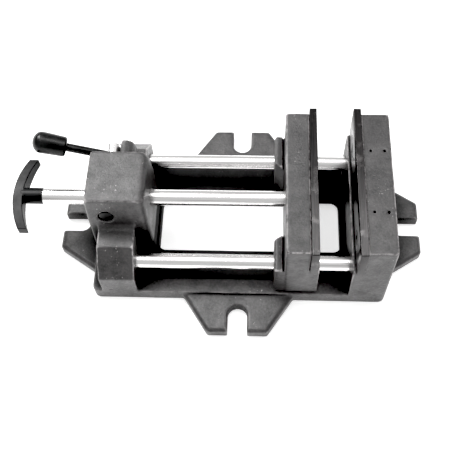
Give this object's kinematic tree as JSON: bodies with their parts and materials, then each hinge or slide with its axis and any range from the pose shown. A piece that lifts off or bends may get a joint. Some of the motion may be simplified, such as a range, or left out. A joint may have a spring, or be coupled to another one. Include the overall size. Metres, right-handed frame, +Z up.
{
  "type": "machine vise",
  "caption": "Quick-acting machine vise: slotted cast base, fixed and sliding jaws on guide rods, push rod with T-handle and a cam lock lever.",
  "frame": {"origin": "middle of the base's underside, where the centre lines of the two end slots and the two side slots cross", "axes": "+X along the guide rods towards the fixed jaw, +Z up from the machine table, +Y towards the lever's side"},
  "size_m": [0.3786, 0.2208, 0.107],
  "materials": {
    "vise_body": "semi-matt grey coat over as-cast iron",
    "guide_rod_front": "polished",
    "guide_rod_rear": "polished",
    "rod_set_screws": "black oxide",
    "fixed_jaw_plate": "ground and blued",
    "fixed_plate_screws": "black oxide",
    "moving_jaw": "semi-matt grey coat over as-cast iron",
    "moving_jaw_plate": "ground and blued",
    "moving_plate_screws": "black oxide",
    "push_rod": "polished",
    "push_rod_keeper_screw": "black oxide",
    "thrust_button": "hardened, ground",
    "t_handle": "satin black",
    "handle_roll_pin": "black oxide",
    "cam_shaft": "polished",
    "shaft_keeper_screw": "black oxide",
    "clamp_shoe": "machined",
    "lever_rod": "black oxide",
    "grip_insert": "knurled insert",
    "lever_grip": "moulded, smooth"
  },
  "bodies": {
    "vise_body": {"vise_body": "vise_body", "guide_rod_front": "guide_rod_front", "guide_rod_rear": "guide_rod_rear", "rod_set_screws": "rod_set_screws", "fixed_jaw_plate": "fixed_jaw_plate", "fixed_plate_screws": "fixed_plate_screws", "shaft_keeper_screw": "shaft_keeper_screw"},
    "moving_jaw": {"moving_jaw": "moving_jaw", "moving_jaw_plate": "moving_jaw_plate", "moving_plate_screws": "moving_plate_screws", "push_rod_keeper_screw": "push_rod_keeper_screw", "thrust_button": "thrust_button"},
    "push_rod": {"push_rod": "push_rod", "t_handle": "t_handle", "handle_roll_pin": "handle_roll_pin"},
    "cam_lever": {"cam_shaft": "cam_shaft", "lever_rod": "lever_rod", "grip_insert": "grip_insert", "lever_grip": "lever_grip"},
    "clamp_shoe": {"clamp_shoe": "clamp_shoe"}
  },
  "joints": [
    {"name": "jaw_slide", "type": "slide", "parent": "vise_body", "child": "moving_jaw", "axis": [1, 0, 0], "range_m": [-0.119, 0.0285]},
    {"name": "rod_spin", "type": "hinge", "parent": "moving_jaw", "child": "push_rod", "pos_m": [0, 0, 0.0604], "axis": [1, 0, 0], "continuous": true},
    {"name": "lever_pivot", "type": "hinge", "parent": "vise_body", "child": "cam_lever", "pos_m": [-0.117, 0, 0.076], "axis": [0, 1, 0], "range_deg": [0, 90]},
    {"name": "shoe_lift", "type": "slide", "parent": "vise_body", "child": "clamp_shoe", "axis": [0, 0, 1], "range_m": [0, 0.0008]}
  ],
  "couplings": [
    {"joint": "shoe_lift", "follows": "lever_pivot", "m_per_rad": 0.0005}
  ]
}
